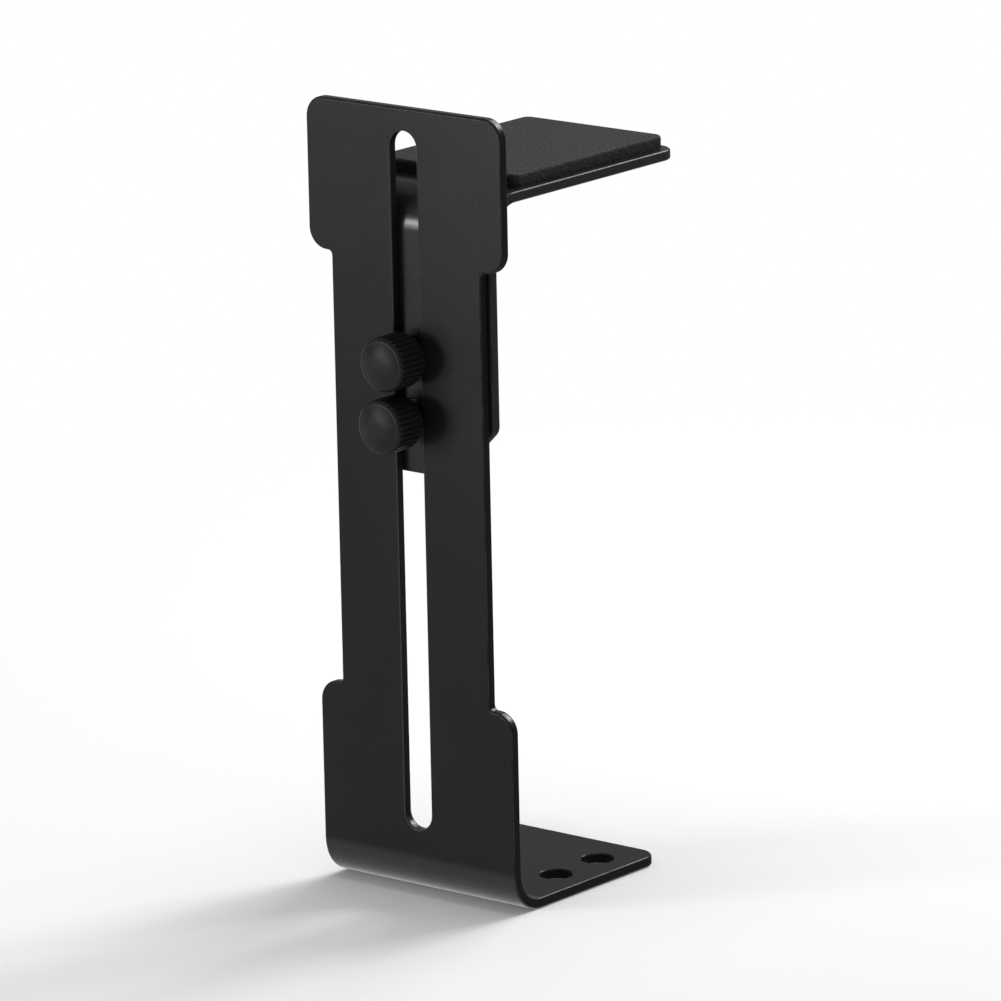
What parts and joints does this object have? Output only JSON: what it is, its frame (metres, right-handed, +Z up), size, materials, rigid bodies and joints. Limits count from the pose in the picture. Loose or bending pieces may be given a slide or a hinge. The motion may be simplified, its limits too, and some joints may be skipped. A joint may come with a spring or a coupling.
{
  "type": "graphics card support bracket",
  "caption": "Folded sheet-metal upright with a long slot and a drilled foot, carrying a padded arm that slides up and down and is clamped by knurled thumbscrews to hold up a sagging board.",
  "frame": {"origin": "middle of the foot's four screw holes, on the underside of the foot", "axes": "+Z up along the upright, +Y back along the foot and the arm, +X to the right seen from the front"},
  "size_m": [0.0368, 0.0541, 0.12],
  "materials": {
    "plate_coat": "fine matte black powder coat",
    "arm_coat": "fine matte black powder coat",
    "pad_rubber": "matte black rubber",
    "screw_black": "black anodised, turned and knurled",
    "nut_steel": "black zinc plate"
  },
  "bodies": {
    "frame": {"upright_plate": "plate_coat"},
    "carriage": {"support_arm": "arm_coat", "arm_pad": "pad_rubber", "upper_clinch_nut": "nut_steel", "lower_clinch_nut": "nut_steel"},
    "upper_screw": {"upper_thumbscrew": "screw_black"},
    "lower_screw": {"lower_thumbscrew": "screw_black"}
  },
  "joints": [
    {"name": "arm_height", "type": "slide", "parent": "frame", "child": "carriage", "axis": [0, 0, 1], "range_m": [-0.0589, 0.0315]},
    {"name": "upper_screw_turn", "type": "hinge", "parent": "carriage", "child": "upper_screw", "pos_m": [0, -0.0219, 0.0826], "axis": [0, 1, 0], "continuous": true},
    {"name": "lower_screw_turn", "type": "hinge", "parent": "carriage", "child": "lower_screw", "pos_m": [0, -0.0219, 0.07335], "axis": [0, 1, 0], "continuous": true}
  ]
}
